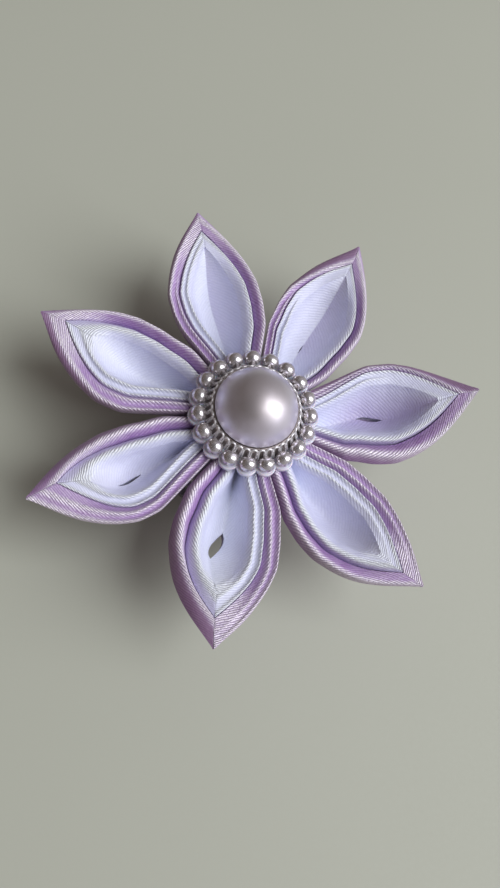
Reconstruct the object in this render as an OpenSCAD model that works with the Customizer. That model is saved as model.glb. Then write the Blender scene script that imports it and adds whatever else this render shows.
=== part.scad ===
// Folded ribbon flower on a hair clip: seven pointed double petals, each an outer and an inner
// fold of satin ribbon, round a moulded cabochon of beads and a half pearl, on a felt disc.
// The flower's axis is Z, the clip lies along X with its nose at +X, and its underside is z = 0.

/* [Petals] */
// Reach of a petal, from the flower's axis to its tip
petal_reach = 38.4; // [34:0.2:44]
// Place of a petal's inner end, from the flower's axis
petal_root = 5.6; // [5:0.1:7]
// Width of a petal at its widest
petal_w = 16.8; // [14:0.2:18]
// Depth of a petal, from its rim down to its base
petal_depth = 8.2; // [7:0.1:10]
// Rise of a petal's tip above its rim, where its lift is 1
tip_lift = 1.7; // [0:0.1:2.4]

/* [Ribbon] */
// Width of one fold's rim, across its folded edges
rim_wall = 2.4; // [1.8:0.1:2.6]
// Thickness of one fold's pressed plies at its base
base_wall = 1; // [1:0.1:1.4]
// Height of the rounding of a folded edge
edge_round = 1.1; // [0.8:0.1:1.4]
// Drop of an inner fold's rim below the outer fold's rim
inner_drop = 0.4; // [0.2:0.1:0.8]
// Half thickness of a fold at its very tip
tip_half = 0.2; // [0.15:0.05:0.35]
// Length of the slit left open in a petal's base, where its slit is 1
slit_len = 5; // [3:0.2:6]
// Width of that slit
slit_w = 1.4; // [0.8:0.1:1.8]
// Gap between two folds
cloth_gap = 0.2; // [0.16:0.02:0.3]

/* [Cabochon] */
// Diameter of the half pearl
pearl_d = 13.8; // [13:0.1:14]
// Height of the half pearl
pearl_h = 5.8; // [4.6:0.1:6.4]
// Width of the ledge left round the pearl
ledge_w = 0.25; // [0.15:0.05:0.4]
// Width of the sloping collar outside the ledge
slope_w = 1.05; // [0.8:0.05:1.3]
// Height of the pearl's seat above the underside
seat_h = 3.05; // [2.6:0.05:3.6]
// Width of a rib on the collar
rib_w = 0.5; // [0.4:0.05:0.6]
// Diameter of a bead
bead_d = 2.95; // [2.6:0.05:3]
// Least gap between two beads
bead_apart = 0.15; // [0.1:0.01:0.3]
// How far the beads run into the collar's foot
bead_sink = 0.2; // [0.1:0.05:0.3]
// Thickness left under a bead
bead_skin = 0.05; // [0.02:0.01:0.1]
// Width of the flange left outside a bead
brim_w = 0.05; // [0.02:0.01:0.1]
// Thickness of the scalloped flange
flange_t = 0.9; // [0.7:0.1:1.2]

/* [Backing and clip] */
// Diameter of the felt disc
felt_d = 26; // [22:0.5:28]
// Thickness of the felt disc
felt_t = 1.2; // [1:0.1:2]
// Length of the clip
clip_len = 41; // [38:0.5:44]
// Part of the clip that lies behind the flower's axis
clip_tail = 14; // [12:0.5:16]
// Width of the clip
clip_w = 9.5; // [8:0.1:11]
// Height of the closed clip
clip_h = 8; // [7:0.1:9]
// Thickness of the clip's steel
clip_t = 1; // [0.8:0.1:1.2]
// Place of the spring behind the flower's axis
spring_x = 6; // [5:0.5:8]
// Length of the sloping nose
nose_len = 20; // [16:0.5:22]
// Film of glue between two stacked pieces
glue_gap = 0.15; // [0.1:0.01:0.2]

/* [Hidden] */
$fn = 64;

// Heights of the stack, from the surface that the clip rests on
felt_z = clip_h + glue_gap;
base_z = felt_z + felt_t + glue_gap;
rim_z = base_z + petal_depth;
cab_z = rim_z + glue_gap;
pearl_z = cab_z + seat_h + glue_gap;

// Radii of the cabochon from its seat outwards, and the beads that its circle holds
seat_r = pearl_d / 2 + ledge_w;
collar_r = seat_r + slope_w;
bead_circle_r = collar_r + bead_d / 2 - bead_sink;
scallop_r = bead_d / 2 + brim_w;
valley_r = bead_circle_r + scallop_r / 2;
bead_count = floor(2 * PI * bead_circle_r / (bead_d + bead_apart));

// A row for each petal, counterclockwise from the one over the clip's nose: the angle of its
// right seam, the turn of its tip, then shares of the reach, width, sideways bow, lift and slit,
// and the slit's place along the petal
SEAM = 0;
TURN = 1;
REACH = 2;
WIDTH = 3;
BOW = 4;
LIFT = 5;
SLIT = 6;
SLIT_AT = 7;
PETALS = [
//  seam,  turn, reach, width, bow, lift, slit, slit place
    [-26.4, 5.2, 0.997, 0.95, 0.09, 0.75, 0.40, 0.39],
    [26.4, -0.3, 0.987, 0.98, 0.04, 0.65, 0.00, 0.50],
    [76.1, 0.9, 0.990, 1.01, 0.14, 0.80, 0.00, 0.50],
    [127.6, -0.6, 1.000, 0.95, 0.14, 1.05, 0.95, 0.51],
    [175.1, 2.6, 0.995, 1.06, 0.01, 1.00, 1.00, 0.50],
    [232.1, 2.9, 1.010, 0.99, -0.03, 1.00, 0.00, 0.50],
    [282.1, 6.6, 1.031, 1.08, 0.09, 1.90, 0.95, 0.49],
];

// A row for each section along a petal: its place, then shares of the half width, the depth and
// the lift, and how far the folds spread inwards there
ALONG = 0;
HALF = 1;
DEEP = 2;
RISE = 3;
SPREAD = 4;
SECTIONS = [
//  along, half, deep, rise, spread
    [0.00, 0.30, 0.90, 0.00, 0.44],
    [0.08, 0.47, 0.95, 0.00, 0.72],
    [0.17, 0.64, 1.00, 0.00, 0.95],
    [0.27, 0.82, 1.00, 0.01, 1.00],
    [0.36, 0.93, 1.00, 0.04, 1.00],
    [0.46, 0.99, 1.00, 0.09, 1.00],
    [0.55, 1.00, 1.00, 0.15, 1.00],
    [0.64, 0.93, 0.99, 0.24, 1.04],
    [0.72, 0.82, 0.95, 0.34, 1.10],
    [0.80, 0.66, 0.83, 0.47, 1.18],
    [0.87, 0.47, 0.60, 0.62, 1.25],
    [0.93, 0.27, 0.34, 0.78, 1.28],
    [0.97, 0.13, 0.20, 0.90, 1.30],
    [1.00, 0.03, 0.12, 1.00, 1.30],
];

// The rim's profile on each side, from the outer wall to the inner wall: shares of the rim's
// width and of the edge's rounding. The left side shows two folded edges, the right side one.
LEFT_RIM = [[0.00, -0.80], [0.12, -0.05], [0.42, -0.40], [0.70, 0.00], [1.00, -0.80]];
RIGHT_RIM = [[0.00, -1.60], [0.22, -0.55], [0.55, 0.00], [0.82, -0.25], [1.00, -0.90]];

// Angles of the points down a petal's wall, from the rim to the base, and the largest share of
// a wall's depth that a folded edge takes
WALL = [22, 38, 54, 72, 90];
STEEPEST = 0.34;

// The power of the way along a petal by which its tip turns aside, and the search for the place
// where a surface runs out: where it starts, and how often it halves the stretch that is left
TURN_POWER = 4;
SEARCH_FROM = 0.4;
HALVINGS = 14;

// A column of the section table, at any place along a petal
function share(column, u) = lookup(u, [for (row = SECTIONS) [row[ALONG], row[column]]]);

// Seams and axis of petal i. A seam is the plane where it meets its neighbour.
function seam(i) = i < len(PETALS) ? PETALS[i][SEAM] : PETALS[0][SEAM] + 360;
function root_angle(i) = (seam(i) + seam(i + 1)) / 2;
function seam_limit(i, x) = x * tan((seam(i + 1) - seam(i)) / 2) - cloth_gap / 2;

// Petal i's length, its middle line and its two outer edges, in its own frame: x outwards, y left
function tip_r(i) = petal_reach * PETALS[i][REACH];
function along_x(i, u) = petal_root + (tip_r(i) * cos(PETALS[i][TURN]) - petal_root) * u;
function middle(i, u) = petal_w / 2 * PETALS[i][BOW] * sin(180 * u)
    + tip_r(i) * sin(PETALS[i][TURN]) * pow(u, TURN_POWER);
function half_w(i, u) = petal_w / 2 * PETALS[i][WIDTH] * share(HALF, u);
function left_edge(i, u) = min(middle(i, u) + half_w(i, u), seam_limit(i, along_x(i, u)));
function right_edge(i, u) = max(middle(i, u) - half_w(i, u), -seam_limit(i, along_x(i, u)));

// Half width left inside a number of rim walls, of fold k (0 outer, 1 inner), and the place along
// the petal where it runs out. A fold's outer surface lies inside k walls, its inner one k + 1.
function left_over(i, u, k, walls) =
    (left_edge(i, u) - right_edge(i, u)) / 2
    - walls * rim_wall * share(SPREAD, u) - k * cloth_gap;
function tip_u(i, k, walls, low = SEARCH_FROM, high = 1, steps = HALVINGS) =
    steps == 0 ? low
    : left_over(i, (low + high) / 2, k, walls) > tip_half
        ? tip_u(i, k, walls, (low + high) / 2, high, steps - 1)
        : tip_u(i, k, walls, low, (low + high) / 2, steps - 1);

// Height of petal i's rim, and depth of a surface below it at share a of that surface's length
function rim_height(i, u) = rim_z + tip_lift * PETALS[i][LIFT] * share(RISE, u);
function depth_at(a, k, walls) =
    (petal_depth - walls * base_wall) * share(DEEP, a) - k * cloth_gap;

// How much of its full drop a folded edge has at share a, since it flattens towards the tip
deepest_edge = inner_drop - RIGHT_RIM[0][1] * edge_round;
function edge_share(a) = min(1, STEEPEST * depth_at(a, 1, 2) / deepest_edge);

// A point of petal i's rim and one down its wall, on the left (side 1) or the right (side -1).
// The wall is a quarter ellipse from the rim, at 0 degrees, to the base, at 90.
function across(i, u, side, half) = (left_edge(i, u) + right_edge(i, u)) / 2 + side * half;
function rim_point(i, a, side, k, walls, drop) =
    let (u = a * tip_u(i, k, walls))
    [
        along_x(i, u),
        across(i, u, side, left_over(i, u, k, walls)),
        rim_height(i, u) - drop * edge_share(a)
    ];
function wall_point(i, a, side, k, walls, angle) =
    let (u = a * tip_u(i, k, walls))
    [
        along_x(i, u),
        across(i, u, side, left_over(i, u, k, walls) * cos(angle)),
        rim_height(i, u) - depth_at(a, k, walls) * sin(angle)
    ];

// One side of a ring, from the outer base over the rim to the inner base. The rim's first and
// last rows lie on the walls' ellipses, at the angle where those reach the row's drop.
function edge_drop(k, row) = k * inner_drop - row[1] * edge_round;
function side_points(i, a, side, k) =
    let (
        rim = side > 0 ? LEFT_RIM : RIGHT_RIM,
        last = len(rim) - 1,
        shoulder = asin(edge_drop(k, rim[0]) * edge_share(a) / depth_at(a, k, k)),
        lip = asin(edge_drop(k, rim[last]) * edge_share(a) / depth_at(a, k, k + 1))
    )
    concat(
        [for (n = [len(WALL) - 1:-1:0]) wall_point(i, a, side, k, k, WALL[n])],
        [wall_point(i, a, side, k, k, shoulder)],
        [for (n = [1:last - 1])
            rim_point(i, a, side, k, k + rim[n][0], edge_drop(k, rim[n]))],
        [wall_point(i, a, side, k, k + 1, lip)],
        [for (angle = WALL) wall_point(i, a, side, k, k + 1, angle)]
    );

// A whole ring: up the left side, over its rim, down inside, and back by the right side
function ring(i, a, k) =
    let (left = side_points(i, a, 1, k), right = side_points(i, a, -1, k))
    concat(left, [for (n = [len(right) - 2:-1:1]) right[n]]);

// Places in a ring of a point on its left and on its right side
POINTS = 2 * len(WALL) + len(LEFT_RIM);
RING = 2 * POINTS - 2;
function left_at(k) = k;
function right_at(k) = (RING - k) % RING;

// Faces of the skin between rings from the tip inwards, of the wall's end at the petal's root,
// and of its tip
function skin_faces(rings) = [
    for (r = [rings - 2:-1:0]) for (k = [0:RING - 1])
        let (a = r * RING + k, b = r * RING + (k + 1) % RING)
        each [[a, b + RING, b], [a, a + RING, b + RING]]
];
function root_faces() =
    let (last = POINTS - 1, arc = len(WALL), lip = arc + len(LEFT_RIM) - 1)
    concat(
        [for (k = [0:arc - 1]) each [
            [left_at(k), left_at(last - k - 1), left_at(last - k)],
            [left_at(k), left_at(k + 1), left_at(last - k - 1)],
            [right_at(k), right_at(last - k), right_at(last - k - 1)],
            [right_at(k), right_at(last - k - 1), right_at(k + 1)]
        ]],
        [for (k = [arc:lip - 2]) each [
            [left_at(lip), left_at(k), left_at(k + 1)],
            [right_at(lip), right_at(k + 1), right_at(k)]
        ]]
    );
function tip_faces(start) = [
    for (k = [0:POINTS - 2]) each concat(
        k < POINTS - 2
            ? [[start + left_at(k), start + right_at(k + 1), start + left_at(k + 1)]] : [],
        k > 0 ? [[start + left_at(k), start + right_at(k), start + right_at(k + 1)]] : []
    )
];

// The slit left open in the base of petal i, as the overlap of two arcs
module slit(i) {
    length = slit_len * PETALS[i][SLIT];
    width = slit_w * PETALS[i][SLIT];
    arc_r = (length * length + width * width) / (4 * width);
    place = PETALS[i][SLIT_AT];
    cut_h = petal_depth / 2;
    translate([along_x(i, place), middle(i, place), base_z - base_wall])
        linear_extrude(cut_h)
            intersection() {
                translate([0, arc_r - width / 2])
                    circle(arc_r);
                translate([0, width / 2 - arc_r])
                    circle(arc_r);
            }
}

// Fold k of petal i as a closed wall of cloth, in the flower's frame
module fold(i, k) {
    rings = [for (row = SECTIONS) ring(i, row[ALONG], k)];
    rotate(root_angle(i))
        difference() {
            polyhedron(
                points = [for (points = rings) each points],
                faces = concat(
                    skin_faces(len(rings)),
                    root_faces(),
                    tip_faces((len(rings) - 1) * RING)
                )
            );
            if (PETALS[i][SLIT] > 0)
                slit(i);
        }
}

module outer_petal(i) {
    color("#c3a6d2")
        fold(i, 0);
}

module inner_petal(i) {
    color("#e6e6f6")
        fold(i, 1);
}

// Beads on a scalloped flange, with a ribbed collar that carries the pearl. A rib's foot is sunk
// into the flange by half its width.
module bead_ring() {
    rise = seat_h - flange_t;
    foot = rib_w / 2;
    color("#d8cfd4")
        translate([0, 0, cab_z]) {
            linear_extrude(flange_t) {
                circle(valley_r);
                for (k = [0:bead_count - 1])
                    rotate(k * 360 / bead_count)
                        translate([bead_circle_r, 0])
                            circle(scallop_r);
            }
            rotate_extrude()
                polygon([[0, 0], [collar_r, 0], [collar_r, flange_t], [seat_r, seat_h],
                    [0, seat_h]]);
            for (k = [0:bead_count - 1])
                rotate(k * 360 / bead_count)
                    translate([bead_circle_r, 0, bead_d / 2 + bead_skin])
                        sphere(d = bead_d);
            for (k = [0:2 * bead_count - 1])
                rotate((k + 0.5) * 180 / bead_count)
                    translate([collar_r, 0, flange_t])
                        rotate([0, -atan(slope_w / rise), 0])
                            translate([0, 0, -foot])
                                cylinder(d = rib_w, h = foot + norm([slope_w, rise]));
        }
}

module pearl() {
    ball_r = (pow(pearl_d / 2, 2) + pow(pearl_h, 2)) / (2 * pearl_h);
    color("#dccfda")
        translate([0, 0, pearl_z])
            intersection() {
                translate([0, 0, pearl_h - ball_r])
                    sphere(ball_r);
                cylinder(d = 2 * pearl_d, h = 2 * pearl_h);
            }
}

module felt_disc() {
    color("#f1eff0")
        translate([0, 0, felt_z])
            cylinder(d = felt_d, h = felt_t);
}

// The clip's side view, extruded across its width: two arms that meet at the nose, with the
// spring's barrel between them
module hair_clip() {
    nose = clip_len - clip_tail;
    shut_h = 2 * clip_t;
    barrel_d = clip_h - clip_t;
    color("#b9bcc0")
        translate([0, clip_w / 2, 0])
            rotate([90, 0, 0])
                linear_extrude(clip_w) {
                    polygon([[-clip_tail, 0], [nose, 0], [nose, shut_h],
                        [nose - nose_len, clip_h], [-clip_tail, clip_h],
                        [-clip_tail, clip_h - clip_t], [nose - nose_len, clip_h - clip_t],
                        [nose - clip_t, clip_t], [-clip_tail, clip_t]]);
                    translate([-spring_x, clip_h / 2])
                        difference() {
                            circle(d = barrel_d);
                            circle(d = barrel_d - 2 * clip_t);
                        }
                }
}

outer_petal(0);  // outer_petal_1
outer_petal(1);  // outer_petal_2
outer_petal(2);  // outer_petal_3
outer_petal(3);  // outer_petal_4
outer_petal(4);  // outer_petal_5
outer_petal(5);  // outer_petal_6
outer_petal(6);  // outer_petal_7
inner_petal(0);  // inner_petal_1
inner_petal(1);  // inner_petal_2
inner_petal(2);  // inner_petal_3
inner_petal(3);  // inner_petal_4
inner_petal(4);  // inner_petal_5
inner_petal(5);  // inner_petal_6
inner_petal(6);  // inner_petal_7
bead_ring();
pearl();
felt_disc();
hair_clip();
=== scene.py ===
"""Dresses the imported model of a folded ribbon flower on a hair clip: satin folds, a moulded
cabochon with a half pearl, a felt disc and a steel clip, on a pale floor under window light."""

import math

import bmesh
import bpy
import numpy as np
from bpy.props import FloatProperty, FloatVectorProperty, IntProperty, PointerProperty
from mathutils import Matrix, Vector


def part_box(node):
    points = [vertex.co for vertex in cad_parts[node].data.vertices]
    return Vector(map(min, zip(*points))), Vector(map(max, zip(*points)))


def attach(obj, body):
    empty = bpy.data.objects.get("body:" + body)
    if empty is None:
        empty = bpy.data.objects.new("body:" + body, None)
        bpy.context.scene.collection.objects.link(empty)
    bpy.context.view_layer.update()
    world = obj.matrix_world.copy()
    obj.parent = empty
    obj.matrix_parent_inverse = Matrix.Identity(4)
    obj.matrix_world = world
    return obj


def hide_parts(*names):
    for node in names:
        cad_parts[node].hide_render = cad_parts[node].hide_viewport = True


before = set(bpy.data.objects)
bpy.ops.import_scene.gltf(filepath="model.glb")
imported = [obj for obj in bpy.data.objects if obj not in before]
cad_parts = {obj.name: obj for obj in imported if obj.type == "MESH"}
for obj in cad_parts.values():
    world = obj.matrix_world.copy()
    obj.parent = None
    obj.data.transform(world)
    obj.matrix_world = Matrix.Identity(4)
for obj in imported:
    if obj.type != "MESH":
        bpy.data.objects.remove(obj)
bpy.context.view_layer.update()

bl_info = {
    "name": "Ribbon flower clip",
    "version": (1, 0, 0),
    "blender": (4, 5, 0),
    "location": "3D View > Sidebar > Ribbon flower",
    "description": "Builds a folded ribbon flower with a beaded cabochon on a hair clip",
    "category": "Add Mesh",
}

MM = 0.001

# A row for each petal, counterclockwise from the one over the clip's nose: the angle of its
# right seam, the turn of its tip, then shares of the reach, width, sideways bow, lift and slit,
# and the slit's place along the petal
SEAM, TURN, REACH, WIDTH, BOW, LIFT, SLIT, SLIT_AT = range(8)
PETALS = [
    (-26.4, 5.2, 0.997, 0.95, 0.09, 0.75, 0.40, 0.39),
    (26.4, -0.3, 0.987, 0.98, 0.04, 0.65, 0.00, 0.50),
    (76.1, 0.9, 0.990, 1.01, 0.14, 0.80, 0.00, 0.50),
    (127.6, -0.6, 1.000, 0.95, 0.14, 1.05, 0.95, 0.51),
    (175.1, 2.6, 0.995, 1.06, 0.01, 1.00, 1.00, 0.50),
    (232.1, 2.9, 1.010, 0.99, -0.03, 1.00, 0.00, 0.50),
    (282.1, 6.6, 1.031, 1.08, 0.09, 1.90, 0.95, 0.49),
]

# A row for each petal, of forms that only show here: how wide its slit stands open, the width of
# its folds' rims, how much more they spread at the tip, the sideways shifts of the inner fold at
# the middle and at the tip in mm, how round and how creased the cup is, and how far the slit
# leans to the side in mm
SLIT_OPEN, RIM_SHARE, TIP_ROOM, MIDDLE_SIDE, TIP_SIDE, CUP_ROUND, CREASE, LEAN = range(8)
FORMS = [
    (0.30, 0.72, 0.35, 0.1, 0.2, 0.2, 0.85, 0.0),
    (1.00, 0.86, 0.15, 0.0, 0.0, 0.0, 0.85, 0.0),
    (1.00, 1.00, 0.20, -0.5, -0.9, 1.0, 0.20, 0.0),
    (0.35, 1.00, 0.45, 0.1, -1.7, 1.0, 0.30, 0.9),
    (1.20, 1.08, 0.32, 0.0, 0.0, 1.0, 0.50, -1.5),
    (1.00, 1.00, 0.05, 0.0, 0.0, 0.6, 0.20, 0.0),
    (0.60, 0.92, 0.10, 1.1, 0.8, 0.4, 0.60, -0.8),
]

# A row for each petal, of shares of painted shade and painted highlight: painted shade on the
# outer wall on the left and on the right, on the inner fold's outer wall, in the cup and how much
# more on its right, painted highlight at the tip on the left and on the right, and a strip of
# painted shade between the left's two edges
LEFT_WALL, RIGHT_WALL, INNER_WALL, CUP_SHADE, RIGHT_SHADE = range(5)
LEFT_SHINE, RIGHT_SHINE, STRIP = range(5, 8)
PAINTED_SHADE_AND_SHINE = [
    (1.0, 0.1, 0.80, 0.22, 0.35, 0.60, 0.15, 0.0),
    (0.9, 0.1, 0.60, 0.08, 0.40, 0.60, 0.15, 0.0),
    (1.0, 0.6, 0.50, 0.14, 0.00, 0.60, 0.60, 0.0),
    (0.4, 0.7, 0.40, 0.28, 0.00, 0.15, 0.15, 1.0),
    (0.5, 1.0, 0.35, 0.00, 0.10, 0.60, 0.15, 0.0),
    (0.8, 0.9, 0.90, 0.28, 0.00, 0.60, 0.15, 0.0),
    (1.0, 0.7, 1.00, 0.85, 0.00, 0.60, 0.15, 0.0),
]

# A row for each petal and fold: the place of the right side's rolled edge near the root and near
# the tip, the same for the left side's first edge, the place of its second edge at the tip, and
# how far that one fades there
RIGHT_ROOT, RIGHT_TIP, LEFT_ROOT, LEFT_TIP, SECOND_TIP, FADE = range(6)
ROLLS = [
    [(0.32, 0.38, 0.10, 0.80, 0.93, 1.0), (0.24, 0.38, 0.08, 0.36, 0.78, 0.8),
     (0.35, 0.45, 0.10, 0.45, 0.80, 0.9), (0.50, 0.85, 0.08, 0.05, 0.48, 0.0),
     (0.50, 0.88, 0.10, 0.12, 0.45, 0.2), (0.48, 0.15, 0.12, 0.15, 0.50, 0.4),
     (0.50, 0.15, 0.55, 0.85, 0.93, 1.0)],
    [(0.22, 0.20, 0.10, 0.10, 0.60, 1.0), (0.22, 0.22, 0.10, 0.15, 0.60, 0.3),
     (0.30, 0.60, 0.10, 0.10, 0.71, 0.0), (0.50, 0.68, 0.10, 0.08, 0.71, 0.0),
     (0.55, 0.71, 0.12, 0.10, 0.71, 0.0), (0.42, 0.36, 0.12, 0.12, 0.60, 0.6),
     (0.40, 0.30, 0.10, 0.10, 0.60, 1.0)],
]

# A row for each section along a petal: its place, then shares of the half width, the depth and
# the lift, and how far the folds spread inwards there
ALONG, HALF, DEEP, RISE, SPREAD = range(5)
SECTIONS = np.array([
    (0.00, 0.37, 0.90, 0.00, 0.44),
    (0.08, 0.56, 0.95, 0.00, 0.72),
    (0.17, 0.74, 1.00, 0.00, 0.95),
    (0.27, 0.88, 1.00, 0.01, 1.00),
    (0.36, 0.93, 1.00, 0.04, 1.00),
    (0.46, 0.99, 1.00, 0.09, 1.00),
    (0.55, 1.00, 1.00, 0.15, 1.00),
    (0.64, 0.93, 0.99, 0.24, 1.04),
    (0.72, 0.82, 0.95, 0.34, 1.10),
    (0.80, 0.66, 0.83, 0.47, 1.18),
    (0.87, 0.47, 0.60, 0.62, 1.25),
    (0.93, 0.27, 0.34, 0.78, 1.28),
    (0.97, 0.13, 0.20, 0.90, 1.30),
    (1.00, 0.03, 0.12, 1.00, 1.30),
])

# The rim's profile on each side, from the outer wall to the inner wall: shares of the rim's
# width and of the edge's drop. The left side shows two rolled edges, the right side one.
SIDES = LEFT, RIGHT = (1, -1)
RIMS = {
    LEFT: np.array([
        (0.00, 0.95), (0.02, 0.45), (0.06, 0.13), (0.11, 0.00), (0.17, 0.10), (0.22, 0.34),
        (0.30, 0.52), (0.42, 0.58), (0.54, 0.50), (0.60, 0.30), (0.65, 0.08), (0.71, 0.00),
        (0.77, 0.08), (0.83, 0.32), (0.91, 0.62), (1.00, 1.00)]),
    RIGHT: np.array([
        (0.00, 1.60), (0.10, 1.15), (0.22, 0.68), (0.34, 0.33), (0.45, 0.10), (0.55, 0.00),
        (0.66, 0.03), (0.76, 0.14), (0.85, 0.38), (0.92, 0.70), (1.00, 1.10)]),
}

# The rolled edges' places in those tables, and the largest drop in them
FIRST_RIDGE = 0.11
RIDGES = {LEFT: 0.71, RIGHT: 0.55}
DEEPEST_DROP = 1.6

# How far the painted highlight of a rolled edge spreads on each side's rim
SPREADS = {LEFT: 0.13, RIGHT: 0.21}

# Where along a petal, from its inner end to its tip, each change sets in and is complete
RIMS_SPREAD = (0.6, 0.93)
EDGES_MOVE = (0.35, 0.85)
SECOND_FADES = (0.35, 0.75)
GAP_WIDENS = (0.5, 0.85)
CUP_RISES = (0.55, 0.95)
MIDDLE_SHIFTS = (0.1, 0.5)
TIP_SHIFTS = (0.5, 0.95)
# TIP_SHINES, STRIP_SHOWS and CUP_DARKENS place painted highlight at the tip, painted shade in the
# strip and painted shade in the cup
TIP_SHINES = (0.72, 0.92)
STRIP_SHOWS = (0.55, 0.8)
CUP_DARKENS = (0.2, 0.55)
CUP_ENDS = (0.85, 1.0)

# How finely a fold is drawn: rows along it, points down a wall and across a rim, rows round its
# nose, how rows and wall points crowd, and the steps that find where a surface runs out, with
# the place they start from
ROWS = 112
WALL_POINTS = 17
RIM_POINTS = 46
NOSE_STEPS = (0.4, 0.75, 0.95)
TIP_CROWDING = 1.15
WALL_CROWDING = 0.9
HALVINGS = 24
FIRST_TIP = 0.4

# Limits and powers of a fold's curves, and how many times wider the gap gets towards the tip
STEEPEST = 0.34
LIP_LIMIT = 0.98
TURN_POWER = 4
BASE_POWER = 4
TIP_GAP = 1.5

# In mm: the blend where an edge meets a seam, the waves of an edge and of a rim, and the
# narrowest slit
SEAM_BLEND = 0.25
EDGE_WAVE = 0.10
RIM_WAVE = 0.08
LEAST_SLIT = 0.02

# The cloth's two waves along an edge: share, speed and phase
WAVES = ((0.6, 9.0, 1.0), (0.4, 21.0, 2.7))

# The cup in an inner fold ends round: how much shorter it is and how fast, from where it closes,
# how much of its depth closes and rises, and between which walls that grows and it shortens
CUP_SHORT = 0.05
SHORT_POWER = 6
CUP_ROUND_FROM = 0.84
CUP_CLOSES = 0.75
CUP_LIFT = 0.45
CUP_WALLS = (1.05, 0.4)
SHORT_WALLS = (1.2, 0.8)

# The painted light and shade that colour a fold. Across a rim: a step past an edge, where the
# painted shade of the outer wall and the painted highlight of a cup's end show, and where a strip
# of painted shade ends before the second edge. Then the level of the painted shade in the
# grooves, how fast it gives way to an edge's painted highlight and its share on each side, the
# painted highlight at a cup's end, and what is left of the grooves' and of the wall's painted
# shade low on the outer wall
EDGE_STEP = 0.1
OUTER_ACROSS = (0.55, 1.0)
END_ACROSS = (0.6, 0.9)
STRIP_ENDS = (0.16, 0.06)
GROOVE_LEVEL = 1.1
GROOVE_FALL = 1.2
GROOVES = {LEFT: 0.85, RIGHT: 1.0}
END_SHINE = 0.6
LOW_GROOVE = 0.45
LOW_WALL = 0.15

# The satin: slant of its threads, length of a stroke in mm, how unevenly the threads run and the
# strokes begin, the shares of painted shade on the walls and of painted highlight on an edge, the
# tone of the painted shade in the gaps between threads, how far that painted shade shows off and
# on an edge, how flat the weave is off an edge, and the heights of its bumps in mm
THREAD_SLANT = math.radians(45)
STROKE = 1.5
WOBBLE = 0.5
STROKE_SHIFT = 5.0
WALL_SHADE = 0.85
EDGE_HIGHLIGHT = 0.3
THREAD_GAP_SHADE = 0.42
GAP_SHADE_SHOWS = (0.09, 0.85)
FLAT_WEAVE = 0.32
SOFT_BUMP = 0.25
THREAD_BUMP = 0.12

# Tones of the moulded plastics, darker first, with the collar's painted dark as the dark reflection
# between the ribs, then of the pearl's painted reflections at its rim and edge, and of its specks
MILKY = ((0.60, 0.57, 0.68), (0.80, 0.78, 0.90))
RIBS = ((0.74, 0.71, 0.73), (0.93, 0.91, 0.94))
COLLAR_DARK_REFLECTION = ((0.24, 0.20, 0.19), (0.44, 0.39, 0.38))
PEARL_RIM_REFLECTION = (0.76, 0.71, 0.82)
PEARL_EDGE_REFLECTION = (0.84, 0.82, 0.97)
PEARL_SPECKS = (0.30, 0.26, 0.26)

# Steps of the flange round one bead, a bead's stretch, and the radius of a rib's rod as a share
# of the rib's width
FLANGE_STEPS = 16
BEAD_STRETCH = (1.04, 1.12, 1.04)
RIB_SHARE = 0.36

# The felt's rings as shares of its radius, and its edge's waves: size in mm, count and phase
FELT_RINGS = (0.06, 0.12, 0.2, 0.2, 0.2)
FELT_WAVES = ((0.10, 5, 0.7), (0.06, 13, 2.0))

# The clip: cuts across its nose and its tail, how its nose and tail narrow, and its spring's
# turns, wire in mm and step in wire radii
NOSE_CUTS = 9
TAIL_CUTS = (0.8, 0.4)
NOSE_NARROWS = 0.42
TAIL_FROM = 0.75
TAIL_SHARE = 0.82
SPRING_TURNS = 7
SPRING_WIRE = 0.5
SPRING_STEP = 2.04

# Directions from the flower to the window light, to the room's bright side and to the dark patch
# overhead, the light's colour, and the room's dark, bright and overhead tones
WINDOW_SIDE = (0.226, -0.602, 0.766)
ROOM_SIDE = (0.30, -0.86, 0.41)
OVERHEAD = (-0.36, 0.05, 0.93)
WINDOW_COLOUR = (0.97, 1.0, 1.03)
ROOM_DARK = (0.24, 0.18, 0.14)
ROOM_BRIGHT = (1.0, 0.97, 0.99)
OVERHEAD_DARK = (0.10, 0.085, 0.075)

# The camera's place and target and the light's target in mm, its upward direction, and its lens
CAMERA_PLACE = (-50.80, -7.05, 139.86)
CAMERA_TARGET = (-4.74, -2.66, 18.3)
WINDOW_TARGET = (0, 0, 15)
CAMERA_UP = (0.8131, 0.5821, 0)
LENS = 32.43


def only(piece):
    """Selects one object alone and makes it active."""
    if bpy.context.object and bpy.context.object.mode != "OBJECT":
        switch("OBJECT")
    bpy.ops.object.select_all(action="DESELECT")
    piece.select_set(True)
    bpy.context.view_layer.objects.active = piece
    return piece


def switch(mode):
    """Switches the active object to another mode."""
    bpy.ops.object.mode_set(mode=mode)


def settle(piece):
    """Puts a piece's place, turn and size into its mesh."""
    only(piece)
    bpy.ops.object.transform_apply(location=True, rotation=True, scale=True)
    return piece


def added():
    """The object that was just added, with its place put into its mesh."""
    return settle(bpy.context.object)


def pick(piece, test, mode="FACE"):
    """In edit mode, selects the faces or vertices whose middle and normal pass a test."""
    mesh = bmesh.from_edit_mesh(piece.data)
    bpy.context.tool_settings.mesh_select_mode = (mode == "VERT", False, mode == "FACE")
    for part in (*mesh.faces, *mesh.edges, *mesh.verts):
        part.select = False
    if mode == "FACE":
        for face in mesh.faces:
            face.select = test(face.calc_center_median(), face.normal)
    else:
        for vert in mesh.verts:
            vert.select = test(vert.co, vert.normal)
    mesh.select_flush_mode()
    bmesh.update_edit_mesh(piece.data)


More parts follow.
